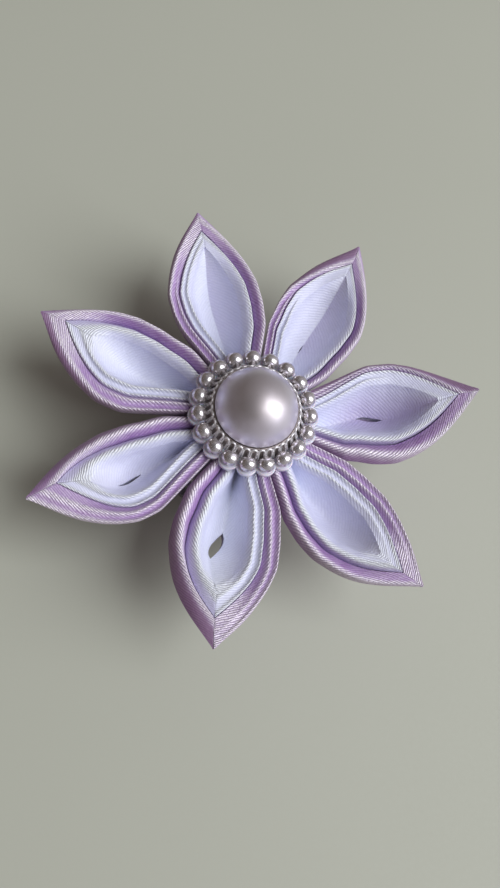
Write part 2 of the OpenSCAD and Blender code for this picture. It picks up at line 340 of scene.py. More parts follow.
def cut(place, normal, **settings):
    """In edit mode, cuts all of the mesh along a plane."""
    bpy.ops.mesh.select_all(action="SELECT")
    bpy.ops.mesh.bisect(plane_co=place, plane_no=normal, **settings)


def round_edges(piece, width, segments, degrees):
    """Adds a bevel, with its width in mm, of the edges sharper than an angle."""
    bevel = piece.modifiers.new("round", "BEVEL")
    bevel.width = width * MM
    bevel.segments = segments
    bevel.limit_method = "ANGLE"
    bevel.angle_limit = math.radians(degrees)


def apply_modifiers(piece):
    """Applies all of a piece's modifiers in their order."""
    only(piece)
    for name in [modifier.name for modifier in piece.modifiers]:
        bpy.ops.object.modifier_apply(modifier=name)


def join(pieces, name):
    """Joins pieces into one object with that name."""
    only(pieces[0])
    for piece in pieces:
        piece.select_set(True)
    bpy.ops.object.join()
    return settle(named(bpy.context.object, name))


def named(piece, name):
    """Names an object and its mesh."""
    piece.name = name
    piece.data.name = name
    return piece


def repeat(piece, count, start):
    """Copies a piece round the flower's axis, each copy with its own mesh."""
    copies = []
    for n in range(count):
        copy = piece.copy()
        copy.data = piece.data.copy()
        copy.data.transform(Matrix.Rotation((n + start) * 2 * math.pi / count, 4, "Z"))
        bpy.context.collection.objects.link(copy)
        copies.append(copy)
    bpy.data.objects.remove(piece)
    return copies


def from_axis(place):
    """Distance from the flower's axis."""
    return math.hypot(place.x, place.y)


def smooth(piece, degrees=40):
    """Shades a piece smooth, with its corners left sharp."""
    only(piece)
    bpy.ops.object.shade_smooth_by_angle(angle=math.radians(degrees))


def finish_piece(piece, material, slot, *nodes):
    """Gives a finished piece its material, unless it has its own, and ties it to the frame."""
    if material:
        piece.data.materials.clear()
        piece.data.materials.append(material)
    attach(piece, "root")
    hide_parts(*nodes)
    return piece


def paint(colour, share=1.0):
    """A colour for a socket, darkened to a share of itself."""
    return (*(share * channel for channel in colour), 1)


class Nodes:
    """Lays out a material's nodes."""

    def __init__(self, name, world=False):
        self.material = (bpy.data.worlds if world else bpy.data.materials).new(name)
        self.material.use_nodes = True
        self.tree = self.material.node_tree
        self.tree.nodes.clear()
        self.output = self.tree.nodes.new("ShaderNodeOutput" + ("World" if world else "Material"))

    def add(self, kind, inputs=None, **settings):
        """Adds a node, sets it up, and links or sets its inputs."""
        node = self.tree.nodes.new("ShaderNode" + kind)
        for name, value in settings.items():
            setattr(node, name, value)
        for name, value in (inputs or {}).items():
            self.feed(node.inputs[name], value)
        return node

    def feed(self, socket, value):
        """Links a socket to another one, or sets its value."""
        if isinstance(value, bpy.types.NodeSocket):
            self.tree.links.new(value, socket)
        else:
            socket.default_value = value

    def math(self, operation, *values, clamp=False):
        """A Math node's result."""
        inputs = dict(enumerate(values))
        return self.add("Math", inputs, operation=operation, use_clamp=clamp).outputs[0]

    def times(self, first, second, clamp=False):
        """One value times another."""
        return self.math("MULTIPLY", first, second, clamp=clamp)

    def arch(self, value):
        """A rise from 0 to 1 and back over each whole step of a value."""
        return self.math("SINE", self.times(self.math("FRACT", value), math.pi))

    def vector(self, operation, first, second, output=0):
        """A Vector Math node's result."""
        return self.add("VectorMath", {0: first, 1: second}, operation=operation).outputs[output]

    def mix(self, share, first, second):
        """A mix of two colours."""
        return self.add("Mix", {0: share, 6: first, 7: second}, data_type="RGBA").outputs[2]

    def span(self, value, low, high, to_low=0.0, to_high=1.0):
        """A value moved from one range to another, and held inside it."""
        return self.add("MapRange", {0: value, 1: low, 2: high, 3: to_low, 4: to_high}).outputs[0]

    def noise(self, vector, scale, detail=2.0, rough=0.5):
        """A noise texture's value."""
        inputs = {"Vector": vector, "Scale": scale, "Detail": detail, "Roughness": rough}
        return self.add("TexNoise", inputs).outputs[0]

    def bump(self, height, distance, strength=1.0, normal=None):
        """A bump of a height, with its distance in mm."""
        inputs = {"Height": height, "Distance": distance * MM, "Strength": strength}
        if normal is not None:
            inputs["Normal"] = normal
        return self.add("Bump", inputs).outputs[0]

    def place(self, output="Object"):
        """The place on the object in metres, or the direction that a world is seen in."""
        return self.add("TexCoord").outputs[output]

    def shader(self, **inputs):
        """A Principled shader on the material's output."""
        inputs = {key.replace("_", " "): value for key, value in inputs.items()}
        node = self.add("BsdfPrincipled", inputs)
        self.tree.links.new(node.outputs[0], self.output.inputs[0])
        return self.material


def length(name, description, value):
    """A size setting, its default given in mm."""
    return FloatProperty(
        name=name, description=description, default=value * MM, subtype="DISTANCE", unit="LENGTH")


def colour(name, description, value):
    """A colour setting."""
    return FloatVectorProperty(
        name=name, description=description, default=value, subtype="COLOR", min=0, max=1)


class RibbonSettings(bpy.types.PropertyGroup):
    petal_reach: length("Petal reach", "From the flower's axis to a petal's tip", 38.4)
    petal_root: length("Petal root", "From the flower's axis to a petal's inner end", 5.6)
    petal_width: length("Petal width", "Width of a petal at its widest", 16.8)
    petal_depth: length("Petal depth", "From a petal's rim down to its base", 8.2)
    tip_lift: length("Tip lift", "Rise of a tip above its rim", 1.7)
    rim_wall: length("Rim width", "Width of one fold's rim", 2.4)
    base_wall: length("Base thickness", "Thickness of one fold's plies at its base", 1.0)
    edge_round: length("Edge rounding", "Height of the rounding of a folded edge", 1.1)
    inner_drop: length("Inner drop", "Drop of the inner fold's rim below the outer one's", 0.4)
    tip_half: length("Tip thickness", "Half thickness of a fold at its very tip", 0.2)
    slit_length: length("Slit length", "Length of the slit left open in a petal's base", 5.0)
    slit_width: length("Slit width", "Width of that slit", 1.4)
    cloth_gap: length("Cloth gap", "Gap between two folds", 0.06)
    rim_height: length("Rim height", "Height of the rims above the surface under the clip", 17.7)
    thread_pitch: length("Thread pitch", "Distance between two of the satin's threads", 0.53)
    outer_square: length("Outer square", "Side of the ribbon square of an outer fold", 50)
    inner_square: length("Inner square", "Side of the ribbon square of an inner fold", 43)
    outer_colour: colour("Outer ribbon", "Colour of the lilac satin", (0.59, 0.46, 0.76))
    # The groove and wall tones are painted shade, and the shine tones are painted highlight on the
    # rolled edges and threads, which also tint the sheen
    outer_groove_shade: colour("Outer grooves", "Lilac satin down in its grooves", (0.33, 0.15, 0.47))
    outer_wall_shade: colour("Outer wall", "Lilac satin on the outer wall", (0.23, 0.12, 0.22))
    outer_shine: colour("Outer shine", "Shining threads of the lilac satin", (0.98, 0.89, 1.0))
    inner_colour: colour("Inner ribbon", "Colour of the white satin", (0.82, 0.85, 1.0))
    inner_groove_shade: colour("Inner grooves", "White satin down in its grooves", (0.69, 0.69, 0.94))
    inner_wall: colour("Inner wall", "White satin where it is shaded", (0.37, 0.27, 0.56))
    inner_shine: colour("Inner shine", "Shining threads of the white satin", (0.92, 0.94, 1.0))


class CabochonSettings(bpy.types.PropertyGroup):
    pearl_diameter: length("Pearl diameter", "Diameter of the half pearl", 13.8)
    pearl_height: length("Pearl height", "Height of the half pearl", 5.8)
    seat_radius: length("Seat radius", "Radius of the pearl's seat", 7.15)
    seat_height: length("Seat height", "Height of the seat above the ring's underside", 3.05)
    collar_radius: length("Collar radius", "Radius of the sloping collar's foot", 8.2)
    rib_width: length("Rib width", "Width of a rib on the collar", 0.5)
    bead_diameter: length("Bead diameter", "Diameter of a bead", 2.5)
    bead_circle: length("Bead circle", "Radius of the circle through the beads", 9.3)
    bead_count: IntProperty(
        name="Beads", description="Number of beads in the ring", default=19, min=12, max=24)
    bead_skin: length("Skin under beads", "Thickness left under a bead", 0.5)
    flange_thickness: length("Flange thickness", "Thickness of the scalloped flange", 0.9)
    metal_colour: colour("Bead metal", "Colour of the beads' silvery finish", (0.78, 0.74, 0.77))
    # The pearl's colour in its middle, darkened there as a painted reflection of the dark room
    pearl_colour_and_dark_reflection: colour("Pearl", "Colour of the half pearl", (0.50, 0.45, 0.47))


class BackingSettings(bpy.types.PropertyGroup):
    clip_tail: length("Clip tail", "Part of the clip behind the flower's axis", 14)
    clip_nose: length("Clip nose", "Part of the clip in front of the flower's axis", 27)
    clip_width: length("Clip width", "Width of the clip", 9.5)
    clip_height: length("Clip height", "Height of the closed clip", 8)
    clip_steel: length("Clip steel", "Thickness of the clip's steel", 1)
    spring_place: length("Spring place", "From the flower's axis back to the spring", 6)
    nose_length: length("Nose length", "Length of the sloping nose", 20)
    felt_diameter: length("Felt diameter", "Diameter of the felt disc", 26)
    felt_thickness: length("Felt thickness", "Thickness of the felt disc", 1.2)
    felt_height: length("Felt height", "Height of the felt's underside", 8.15)
    felt_colour: colour("Felt", "Colour of the felt", (0.80, 0.79, 0.80))
    steel_colour: colour("Steel", "Colour of the clip's steel", (0.55, 0.56, 0.58))


class StageSettings(bpy.types.PropertyGroup):
    floor_size: length("Floor size", "Side of the square floor", 4000)
    floor_colour: colour("Floor", "Colour of the pale surface", (0.495, 0.505, 0.428))
    window_power: FloatProperty(
        name="Window power", description="Power of the window light", default=13.5,
        subtype="POWER", unit="POWER")
    window_width: length("Window width", "Width of the window light", 840)
    window_height: length("Window height", "Height of the window light", 1140)
    window_distance: length("Window distance", "From the flower to the window light", 1200)
    room_light: FloatProperty(
        name="Room light", description="Strength of the room's own light", default=0.45)


def smooth_curve(xs, ys, x):
    """A curve through a table's points, with no overshoot between them."""
    step = np.diff(xs)
    rise = np.diff(ys) / step
    slope = np.zeros(len(xs))
    same = rise[:-1] * rise[1:] > 0
    first = 2 * step[1:] + step[:-1]
    second = step[1:] + 2 * step[:-1]
    for n in np.flatnonzero(same):
        slope[n + 1] = (first[n] + second[n]) / (first[n] / rise[n] + second[n] / rise[n + 1])
    slope[0] = rise[0]
    slope[-1] = rise[-1]
    at = np.clip(np.searchsorted(xs, x, side="right") - 1, 0, len(step) - 1)
    t = np.clip((x - xs[at]) / step[at], 0, 1)
    return (
        (2 * t**3 - 3 * t**2 + 1) * ys[at]
        + (t**3 - 2 * t**2 + t) * step[at] * slope[at]
        + (3 * t**2 - 2 * t**3) * ys[at + 1]
        + (t**3 - t**2) * step[at] * slope[at + 1]
    )


def share(column, u):
    """A column of the section table at any place along a petal."""
    return smooth_curve(SECTIONS[:, ALONG], SECTIONS[:, column], u)


def ease(x, low, high):
    """A smooth step from 0 to 1 between two values."""
    t = np.clip((x - low) / (high - low), 0, 1)
    return t * t * (3 - 2 * t)


def moved(first, second, part):
    """A value moved part of the way to another."""
    return first + (second - first) * part


def catmull(values, at):
    """A smooth curve through evenly spaced values."""
    padded = np.concatenate([[2 * values[0] - values[1]], values, [2 * values[-1] - values[-2]]])
    n = np.clip(np.floor(at).astype(int), 0, len(values) - 2)
    t = at - n
    p0, p1, p2, p3 = (padded[n + k] for k in range(4))
    return 0.5 * (
        2 * p1 + (p2 - p0) * t + (2 * p0 - 5 * p1 + 4 * p2 - p3) * t**2
        + (3 * p1 - p0 - 3 * p2 + p3) * t**3)


class Fold:
    """One fold of one petal, in the petal's own frame: x outwards, y to the left."""

    def __init__(self, number, layer, sizes):
        self.number = number
        self.layer = layer
        self.sizes = sizes
        self.row = PETALS[number]
        self.form = FORMS[number]
        self.painted_shares = PAINTED_SHADE_AND_SHINE[number]
        self.rolls = ROLLS[layer][number]
        after = PETALS[number + 1][SEAM] if number + 1 < len(PETALS) else PETALS[0][SEAM] + 360
        self.opening = math.radians(after - self.row[SEAM])
        self.angle = math.radians((self.row[SEAM] + after) / 2)
        self.tip = sizes.petal_reach * self.row[REACH]

    def along(self, u):
        """Distance from the axis."""
        far = self.tip * math.cos(math.radians(self.row[TURN]))
        return self.sizes.petal_root + (far - self.sizes.petal_root) * u

    def wander(self, u, seed, size):
        """A slow wave of the cloth along the petal, its size in mm, different for each edge."""
        phase = 2.1 * self.number + 1.3 * seed
        fade = np.sin(np.pi * np.clip(u, 0, 1)) ** 0.5
        wave = sum(part * np.sin(speed * u + turn * phase) for part, speed, turn in WAVES)
        return size * MM * fade * wave

    def edges(self, u):
        """Left and right outer edge."""
        sizes = self.sizes
        middle = sizes.petal_width / 2 * self.row[BOW] * np.sin(np.pi * u) + self.tip * math.sin(
            math.radians(self.row[TURN])) * u**TURN_POWER
        half = sizes.petal_width / 2 * self.row[WIDTH] * share(HALF, u)
        limit = self.along(u) * math.tan(self.opening / 2) - sizes.cloth_gap / 2
        blend = SEAM_BLEND * MM

        def lesser(a, b):
            return (a + b - np.sqrt((a - b) ** 2 + blend**2)) / 2

        left = lesser(middle + half + self.wander(u, 1, EDGE_WAVE), limit)
        right = -lesser(half - middle + self.wander(u, 2, EDGE_WAVE), limit)
        return left, right

    def gap(self, u):
        """Gap that the inner fold leaves to the outer one, wider towards the tip."""
        return self.layer * self.sizes.cloth_gap * (1 + TIP_GAP * ease(u, *GAP_WIDENS))

    def left_over(self, u, walls):
        """Half width left inside a number of rim walls."""
        left, right = self.edges(u)
        room = self.form[TIP_ROOM] * ease(u, *RIMS_SPREAD) * np.minimum(walls, 1)
        taken = (walls + room) * self.sizes.rim_wall * self.form[RIM_SHARE] * share(SPREAD, u)
        return (left - right) / 2 - taken - self.gap(u)

    def tip_place(self, walls):
        """Place along the petal where a surface runs out."""
        low = np.full_like(walls, FIRST_TIP)
        high = np.ones_like(walls)
        for _ in range(HALVINGS):
            middle = (low + high) / 2
            room = self.left_over(middle, walls) > self.sizes.tip_half
            low = np.where(room, middle, low)
            high = np.where(room, high, middle)
        return low

    def rim(self, u):
        """Height of the rim."""
        lift = self.sizes.tip_lift * self.row[LIFT]
        return self.sizes.rim_height + lift * share(RISE, u) + self.wander(u, 3, RIM_WAVE)

    def depth(self, a, walls):
        """Depth of a surface below the rim."""
        whole = self.sizes.petal_depth - walls * self.sizes.base_wall
        return whole * share(DEEP, a) - self.gap(a)

    def slit_half(self, x):
        """Half width of the slit left open in the base."""
        length = self.sizes.slit_length * self.row[SLIT]
        width = self.sizes.slit_width * self.row[SLIT] * self.form[SLIT_OPEN]
        if width <= 0:
            return np.zeros_like(x)
        arc = (length**2 + width**2) / (4 * width)
        off = np.clip(np.abs(x - self.along(self.row[SLIT_AT])), 0, length / 2)
        return np.sqrt(arc**2 - off**2) - (arc - width / 2)

    def base_open(self, x):
        """Where the base is open."""
        return self.slit_half(x) > LEAST_SLIT * MM

    def lean(self, x):
        """How far the slit pushes the base to one side, from its inner end outwards."""
        length = self.sizes.slit_length
        start = self.along(self.row[SLIT_AT]) - length / 2
        on = ease(x, start, start + length) * (1 - ease(x, start + length, start + 2.5 * length))
        return self.form[LEAN] * MM * on

    def profile(self, side, a):
        """The rim's shares of width and drops, rows along by columns across, then the places of
        its two rolled edges and how strong the second one is. The right side has only one."""
        rolls = self.rolls
        table = RIMS[side]
        ridge = RIDGES[side]
        at = np.linspace(0, len(table) - 1, RIM_POINTS)
        plain = smooth_curve(np.arange(len(table)), table[:, 0], at)[None, :]
        drop = catmull(table[:, 1], at)[None, :]
        late = ease(a, *EDGES_MOVE)
        if side == RIGHT:
            place = moved(rolls[RIGHT_ROOT], rolls[RIGHT_TIP], late)
            width = np.where(plain < ridge, plain / ridge * place,
                             place + (plain - ridge) / (1 - ridge) * (1 - place))
            return width, drop + 0 * a, place, place, 1.0
        place = moved(rolls[LEFT_ROOT], rolls[LEFT_TIP], late)
        second = place + (ridge - FIRST_RIDGE) / (1 - FIRST_RIDGE) * (1 - place)
        second = moved(second, rolls[SECOND_TIP], late)
        width = np.where(plain < FIRST_RIDGE, plain / FIRST_RIDGE * place, np.where(
            plain < ridge, place + (plain - FIRST_RIDGE) / (ridge - FIRST_RIDGE) * (second - place),
            second + (plain - ridge) / (1 - ridge) * (1 - second)))
        fade = rolls[FADE] * ease(a, *SECOND_FADES)
        onward = np.clip((width - place) / (1 - place), 0, 1)
        drop = np.where(plain < FIRST_RIDGE, drop, moved(drop, onward, fade))
        return width, drop, place, second, 1 - fade

    def side(self, side, rows):
        """Points of one side, rows along by columns from the outer base to the inner base."""
        sizes = self.sizes
        form = self.form
        a = np.minimum(rows, 1.0)[:, None]
        width, drop = self.profile(side, a)[:2]
        edge = self.layer * sizes.inner_drop + drop * sizes.edge_round
        deepest = sizes.inner_drop + DEEPEST_DROP * sizes.edge_round
        room = (sizes.petal_depth - 2 * sizes.base_wall) * share(DEEP, a) - sizes.cloth_gap
        flat = np.minimum(1, STEEPEST * room / deepest)
        wall = np.zeros((len(rows), WALL_POINTS))
        walls = self.layer + np.concatenate([wall, width, wall + 1], axis=1)

        # The inner fold's cup is shorter than its rim and ends round
        cup = self.layer * form[CUP_ROUND]
        inward = cup * np.clip((walls - CUP_WALLS[0]) / CUP_WALLS[1], 0, 1)
        short = cup * CUP_SHORT * np.clip((walls - SHORT_WALLS[0]) / SHORT_WALLS[1], 0, 1)
        u = a * self.tip_place(walls)
        u = u * (1 - short * a**SHORT_POWER)
        close = np.sqrt(1 - np.clip((a - CUP_ROUND_FROM) / (1 - CUP_ROUND_FROM), 0, 1) ** 2)
        depth = self.depth(a, walls) * (1 + inward * CUP_CLOSES * (close - 1))
        depth = depth * (1 - CUP_LIFT * inward * ease(a, *CUP_RISES))

        # Down the outer wall, over the rim and down the inner wall
        sine = np.clip(edge * flat / depth[:, WALL_POINTS:-WALL_POINTS], 0, LIP_LIMIT)
        shoulder = np.arcsin(sine[:, :1])
        lip = np.arcsin(sine[:, -1:])
        steps = (np.arange(WALL_POINTS) / WALL_POINTS)[None, :]
        down = np.pi / 2 + (shoulder - np.pi / 2) * steps**WALL_CROWDING
        up = np.pi / 2 + (lip - np.pi / 2) * steps[:, ::-1] ** WALL_CROWDING
        angle = np.concatenate([down, np.arcsin(sine), up], axis=1)

        left, right = self.edges(u)
        half = self.left_over(u, walls)
        half = half + (sizes.tip_half - half) * inward * (1 - close)
        nose = np.clip(rows - 1.0, 0, 1)[:, None]
        half = np.where(nose > 0, sizes.tip_half * np.sqrt(1 - nose**2), half)
        x = self.along(u) + nose * sizes.tip_half
        reach = np.cos(angle)
        if self.layer == 1:
            under = np.clip((up - lip) / (np.pi / 2 - lip), 0, 1) * form[CREASE]
            reach[:, -WALL_POINTS:] += under * (1 - np.sin(up) - np.cos(up))
        tipward = ease(u, *TIP_SHIFTS)
        shift = form[MIDDLE_SIDE] * ease(u, *MIDDLE_SHIFTS) * (1 - tipward)
        shift = shift + form[TIP_SIDE] * tipward
        middle = (left + right) / 2 + shift * MM * np.minimum(walls, 1)
        low = np.sin(angle) ** BASE_POWER
        y = middle + side * np.hypot(half * reach, self.slit_half(x) * low) + self.lean(x) * low
        z = self.rim(u) - depth * np.sin(angle)
        return np.stack([x, y, z], axis=-1)

    def painted_light_and_shade(self, side, rows):
        """Shares of painted highlight on a rolled edge, of painted shade in a groove and of painted
        shade on the outer wall and in the inner fold's cup, for each point.
        """
        painted_shares = self.painted_shares
        a = np.minimum(rows, 1.0)[:, None]
        width, _, first, second, strength = self.profile(side, a)
        crest = np.exp(-((width - first) / SPREADS[side]) ** 2)
        crest = np.maximum(crest, strength * np.exp(-((width - second) / SPREADS[side]) ** 2))
        if self.layer == 0:
            # Painted highlight at the outer fold's tip
            shine = painted_shares[LEFT_SHINE if side == LEFT else RIGHT_SHINE] * ease(a, *TIP_SHINES)
            crest = np.maximum(crest, shine * ease(width, first, first + EDGE_STEP))
        groove = np.clip(GROOVE_LEVEL - GROOVE_FALL * crest, 0, 1) * GROOVES[side]
        if self.layer == 1:
            # A round cup's end gets painted highlight in place of painted shade
            end = self.form[CUP_ROUND] * ease(a, *CUP_ENDS) * ease(width, *END_ACROSS)
            groove = groove * (1 - end)
            crest = moved(crest, END_SHINE, end)
        outer = 1 - ease(width / np.maximum(first, EDGE_STEP / 2), *OUTER_ACROSS)

        # The painted light and shade change down the walls from the rim: one below the outer edge,
        # one down into the cup
        down = np.linspace(1, 0, WALL_POINTS, endpoint=False)[None, :]
        fall = (1 - down[:, ::-1]) ** 2
        wall = np.ones((len(rows), WALL_POINTS))
        near = wall * (1 - down) ** 1.5
        below = crest[:, :1] * (1 - down) ** 4
        crest = np.concatenate([below, crest, crest[:, -1:] * fall], axis=1)
        below = LOW_GROOVE + (1 - LOW_GROOVE) * near
        groove = np.concatenate([below, groove, groove[:, -1:] * fall], axis=1)
        if self.layer == 0:
            if side == LEFT:
                # A strip of painted shade between the left's two edges
                strip = ease(width, first + EDGE_STEP, first + 2 * EDGE_STEP)
                strip = strip * (1 - ease(width, *(second - edge for edge in STRIP_ENDS)))
                outer = np.maximum(outer, painted_shares[STRIP] * strip * ease(a, *STRIP_SHOWS))
            outer = np.concatenate([LOW_WALL + (1 - LOW_WALL) * near, outer, 0 * wall], axis=1)
            outer = outer * painted_shares[LEFT_WALL if side == LEFT else RIGHT_WALL]
        else:
            # Painted shade in the inner fold's cup, more on its right
            shade = painted_shares[CUP_SHADE] + (painted_shares[RIGHT_SHADE] if side == RIGHT else 0)
            shade = shade * ease(a, *CUP_DARKENS) * (1 - fall)
            outer = np.concatenate([near, outer], axis=1) * painted_shares[INNER_WALL]
            outer = np.concatenate([outer, shade], axis=1)
        return np.stack([crest, groove, outer], axis=-1)


def cloth_map(side, grid):
    """Lengths in mm along the cloth and across it, from its root and from a rolled edge."""
    along = np.zeros(grid.shape[:2])
    along[1:] = np.cumsum(np.linalg.norm(np.diff(grid, axis=0), axis=-1), axis=0)
    across = np.zeros(grid.shape[:2])
    across[:, 1:] = np.cumsum(np.linalg.norm(np.diff(grid, axis=1), axis=-1), axis=1)
    table = RIMS[side]
    row = int(np.argmin(np.abs(table[:, 0] - RIDGES[side])))
    at = WALL_POINTS + round((RIM_POINTS - 1) * row / (len(table) - 1))
    across = across - across[:, at:at + 1]
    return np.stack([along, across], axis=-1) / MM


def stitched(side, outer, inner):
    """Triangles between the slit's two edges, whose corners are index, map and distance."""
    triangles = []
    i = j = 0
    while i < len(outer) - 1 or j < len(inner) - 1:
        if j == len(inner) - 1 or (i < len(outer) - 1 and outer[i + 1][2] <= inner[j + 1][2]):
            triangle = [outer[i + 1], outer[i], inner[j]]
            i += 1
        else:
            triangle = [outer[i], inner[j], inner[j + 1]]
            j += 1
        triangles.append([corner[:2] for corner in triangle[::side]])
    return triangles


def fold_mesh(name, fold):
    """A fold as one closed mesh, with a map in millimetres that follows the cloth."""
    main = 1 - (1 - np.linspace(0, 1, ROWS)) ** TIP_CROWDING
    rows = np.concatenate([main, 1 + np.array(NOSE_STEPS)])
    points = {side: fold.side(side, rows) for side in SIDES}
    shape = points[LEFT].shape[:2]
    index = np.arange(2 * shape[0] * shape[1]).reshape(2, *shape)
    index = {LEFT: index[0], RIGHT: index[1]}
    end = shape[0] - 1
    last = shape[1] - 1

    # The two sides share their points along the base where no slit is open
    opened = {}
    for column in (0, last):
        opened[column] = fold.base_open(points[LEFT][:, column, 0])
        shut = ~opened[column]
        index[RIGHT][shut, column] = index[LEFT][shut, column]
        middle = (points[LEFT][:, column, 1] + points[RIGHT][:, column, 1]) / 2
        for side in SIDES:
            points[side][shut, column, 1] = middle[shut]
    maps = {side: cloth_map(side, points[side]) for side in SIDES}

    faces = []
    corners = []
    for side in SIDES:
        order = [(0, 0), (1, 0), (1, 1), (0, 1)][::side]
        parts = [np.s_[row:row + end, column:column + last] for row, column in order]
        faces.extend(np.stack([index[side][part] for part in parts], -1).reshape(-1, 4).tolist())
        corners.append(np.stack([maps[side][part] for part in parts], -2).reshape(-1, 2))

    # Rings of corners close the inner end, the nose and the slit
    rings = []
    for low in range(shape[1] // 2 - 1):
        columns = (low, low + 1, last - low - 1, last - low)
        for side in SIDES:
            rings.append([(index[side][0, c], maps[side][0, c]) for c in columns[::side]])
    for c in range(last):
        ring = {}
        for side, column in ((LEFT, c + 1), (LEFT, c), (RIGHT, c), (RIGHT, c + 1)):
            ring.setdefault(index[side][end, column], maps[LEFT][end, column])
        if len(ring) > 2:
            rings.append(list(ring.items()))
    if opened[0].any():
        for side in SIDES:
            chains = []
            for column in (0, last):
                inside = np.flatnonzero(opened[column])
                places = [(row, column) for row in range(inside[0] - 1, inside[-1] + 2)]
                chains.append([(index[side][at], maps[side][at], points[side][at][0])
                               for at in places])
            rings.extend(stitched(side, *chains))
    for ring in rings:
        faces.append([int(number) for number, _ in ring])
        corners.append(np.array([corner for _, corner in ring]))

    # Points that no face uses are left out
    spots = np.concatenate([points[side].reshape(-1, 3) for side in SIDES])
    spots = spots @ np.array(Matrix.Rotation(fold.angle, 3, "Z")).T
    painted_light_and_shade = np.concatenate([fold.painted_light_and_shade(side, rows).reshape(-1, 3) for side in SIDES])
    used = np.zeros(len(spots), bool)
    used[[number for face in faces for number in face]] = True
    renumber = (np.cumsum(used) - 1).tolist()
    mesh = bpy.data.meshes.new(name)
    mesh.from_pydata(spots[used].tolist(), [], [[renumber[n] for n in face] for face in faces])
    layer = mesh.uv_layers.new(name="cloth")
    layer.data.foreach_set("uv", np.concatenate(corners).astype(np.float32).ravel())
    # Each point keeps its shares of painted highlight and painted shade
    tone = mesh.attributes.new(name="painted_light_and_shade", type="FLOAT_VECTOR", domain="POINT")
    tone.data.foreach_set("vector", painted_light_and_shade[used].astype(np.float32).ravel())
    mesh.update()
    volume = bmesh.new()
    volume.from_mesh(mesh)
    if volume.calc_volume(signed=True) < 0:
        bmesh.ops.reverse_faces(volume, faces=volume.faces)
        volume.to_mesh(mesh)
    volume.free()
    piece = bpy.data.objects.new(name, mesh)
    bpy.context.collection.objects.link(piece)
    smooth(piece, 50)
    return piece


def satin(name, tones, pitch, gloss):
    """Woven satin: raised threads that slant in towards the fold's bottom, broken into short
    strokes, with painted highlight on the strokes and the rolled edges and painted shade in the
    grooves, on the walls and between the threads. The tones are those of the body, the painted
    shade in the grooves, the painted shade on the walls and the painted highlight of the threads,
    which also tints the sheen."""
    nodes = Nodes(name)
    body, groove, wall, shine = (paint(tone) for tone in tones)
    cloth = nodes.add("UVMap", uv_map="cloth").outputs[0]
    painted_light_and_shade = nodes.add("Attribute", attribute_name="painted_light_and_shade").outputs["Vector"]
    crest, deep, outer = nodes.add("SeparateXYZ", {0: painted_light_and_shade}).outputs

    # Places on the cloth, a little uneven, counted in threads across and in strokes along
    wobble = nodes.add("TexNoise", {"Vector": cloth, "Scale": 0.8, "Detail": 2.0}).outputs[1]
    wobble = nodes.vector("SUBTRACT", wobble, (0.5, 0.5, 0.5))
    wobble = nodes.add("VectorMath", {0: wobble, "Scale": WOBBLE}, operation="SCALE").outputs[0]
    u, v, _ = nodes.add("SeparateXYZ", {0: nodes.vector("ADD", cloth, wobble)}).outputs
    sine = math.sin(THREAD_SLANT)
    cosine = math.cos(THREAD_SLANT)
    across = nodes.math("SUBTRACT", nodes.times(u, sine / pitch), nodes.times(v, cosine / pitch))
    along = nodes.math("ADD", nodes.times(u, cosine / STROKE), nodes.times(v, sine / STROKE))
    line = nodes.math("FLOOR", across)
    chance = nodes.add("TexWhiteNoise", {"W": line}, noise_dimensions="1D").outputs[0]
    along = nodes.math("ADD", along, nodes.times(chance, STROKE_SHIFT))
    thread = nodes.times(nodes.arch(across), nodes.span(nodes.arch(along), 0.0, 0.4, 0.5, 1.0))
    cell = nodes.add("CombineXYZ", {0: line, 1: nodes.math("FLOOR", along)}).outputs[0]
    cell = nodes.add("TexWhiteNoise", {"Vector": cell}, noise_dimensions="3D").outputs[0]
    cloud = nodes.noise(cloth, 0.35, 3.0)
    fine = nodes.noise(cloth, 7.0, 2.0)

    # Colour: painted shade in the grooves and on the walls, painted highlight on the rolled edge,
    # painted shade in the gaps between threads, then painted highlight on the strokes
    base = nodes.mix(nodes.times(deep, nodes.span(cloud, 0.3, 0.7, 0.75, 1.0)), body, groove)
    base = nodes.mix(nodes.times(outer, WALL_SHADE), base, wall)
    base = nodes.mix(nodes.times(crest, EDGE_HIGHLIGHT), base, shine)
    dark = nodes.span(thread, 0.0, 0.6, 1.0, 0.0)
    dark = nodes.times(dark, nodes.span(crest, 0.0, 1.0, *GAP_SHADE_SHOWS))
    base = nodes.mix(dark, base, paint(tones[1], THREAD_GAP_SHADE))
    bright = nodes.math("ADD", nodes.times(crest, 1.5), 0.2)
    bright = nodes.times(bright, nodes.span(outer, 0.0, 1.0, 1.0, 0.4))
    lift = nodes.times(thread, nodes.span(cell, 0.0, 1.0, 0.55, 1.0))
    lift = nodes.times(lift, bright, clamp=True)
    base = nodes.mix(lift, base, shine)

    height = nodes.math("ADD", thread, nodes.times(fine, 0.3))
    height = nodes.math("ADD", height, nodes.times(cell, 0.3))
    height = nodes.times(height, nodes.span(crest, 0.0, 0.8, FLAT_WEAVE, 1.0))
    soft = nodes.bump(nodes.noise(cloth, 0.5, 2.0), SOFT_BUMP, 0.5)
    return nodes.shader(
        Base_Color=base, Roughness=nodes.span(lift, 0.0, 1.0, 0.5, 0.30),
        Normal=nodes.bump(height, THREAD_BUMP, 1.0, soft), Metallic=gloss,
        Sheen_Weight=0.3, Sheen_Roughness=0.35, Sheen_Tint=shine,
        Specular_IOR_Level=0.8, Anisotropic=0.3)


